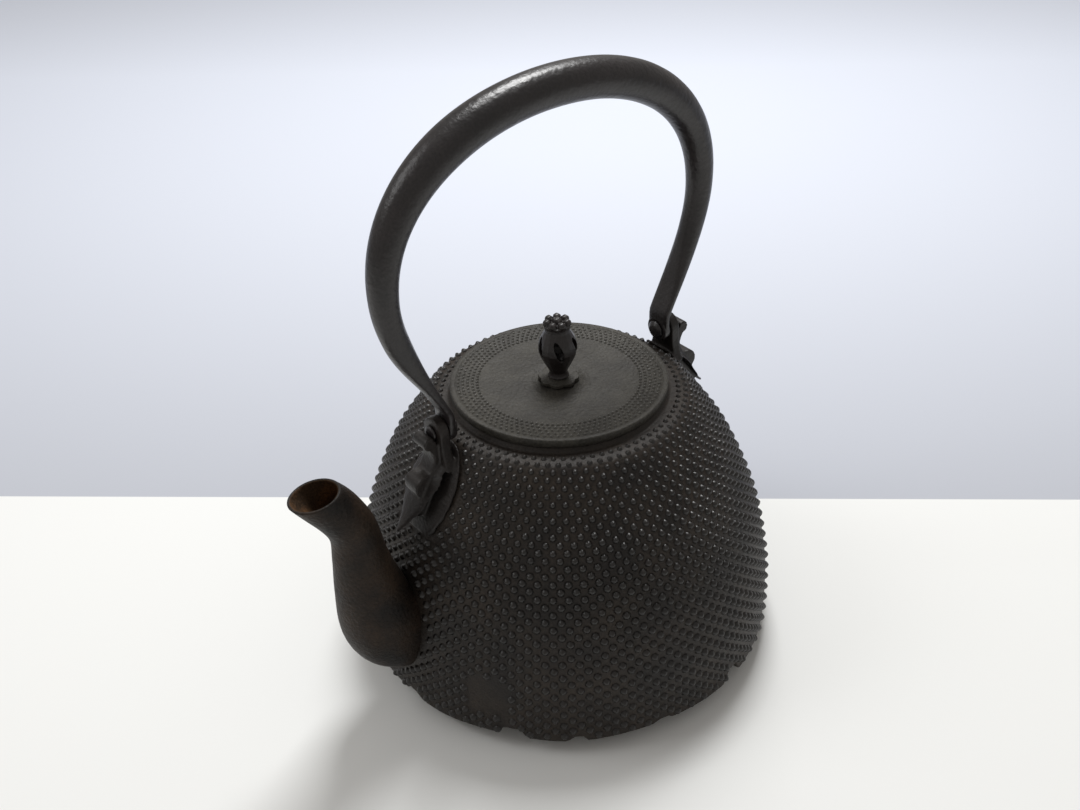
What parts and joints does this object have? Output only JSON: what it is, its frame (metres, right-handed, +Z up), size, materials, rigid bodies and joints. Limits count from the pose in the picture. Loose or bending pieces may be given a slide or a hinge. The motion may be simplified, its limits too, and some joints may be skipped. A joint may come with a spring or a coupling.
{
  "type": "cast iron kettle",
  "caption": "Rounded cast iron kettle with an S-shaped spout, a swinging arched bail handle on two leaf lugs and a lift-off lid with an openwork bud knob.",
  "frame": {"origin": "centre of the flat bottom, on the surface the kettle stands on", "axes": "+Z up, spout towards -X, the upright handle stands in the plane Y = 0"},
  "size_m": [0.2032, 0.1704, 0.2386],
  "materials": {
    "body_iron": "matt black-brown lacquered cast iron",
    "lug_iron": "matt dark cast iron",
    "rivet_iron": "hammered dark iron",
    "handle_iron": "smooth satin dark iron",
    "lid_iron": "matt dark grey-brown iron",
    "knob_iron": "dark cast iron, slightly glossy"
  },
  "bodies": {
    "kettle": {"kettle_body": "body_iron", "spout": "body_iron", "front_lug": "lug_iron", "rear_lug": "lug_iron", "front_rivet": "rivet_iron", "rear_rivet": "rivet_iron"},
    "bail": {"handle": "handle_iron"},
    "lid_set": {"lid": "lid_iron", "knob_seat": "lid_iron", "knob": "knob_iron", "knob_washer": "lid_iron"}
  },
  "joints": [
    {"name": "handle_swing", "type": "hinge", "parent": "kettle", "child": "bail", "pos_m": [0, 0, 0.1173], "axis": [1, 0, 0], "range_deg": [-110, 110]},
    {"name": "lid_lift", "type": "slide", "parent": "kettle", "child": "lid_set", "axis": [0, 0, 1], "range_m": [0, 0.06]}
  ]
}
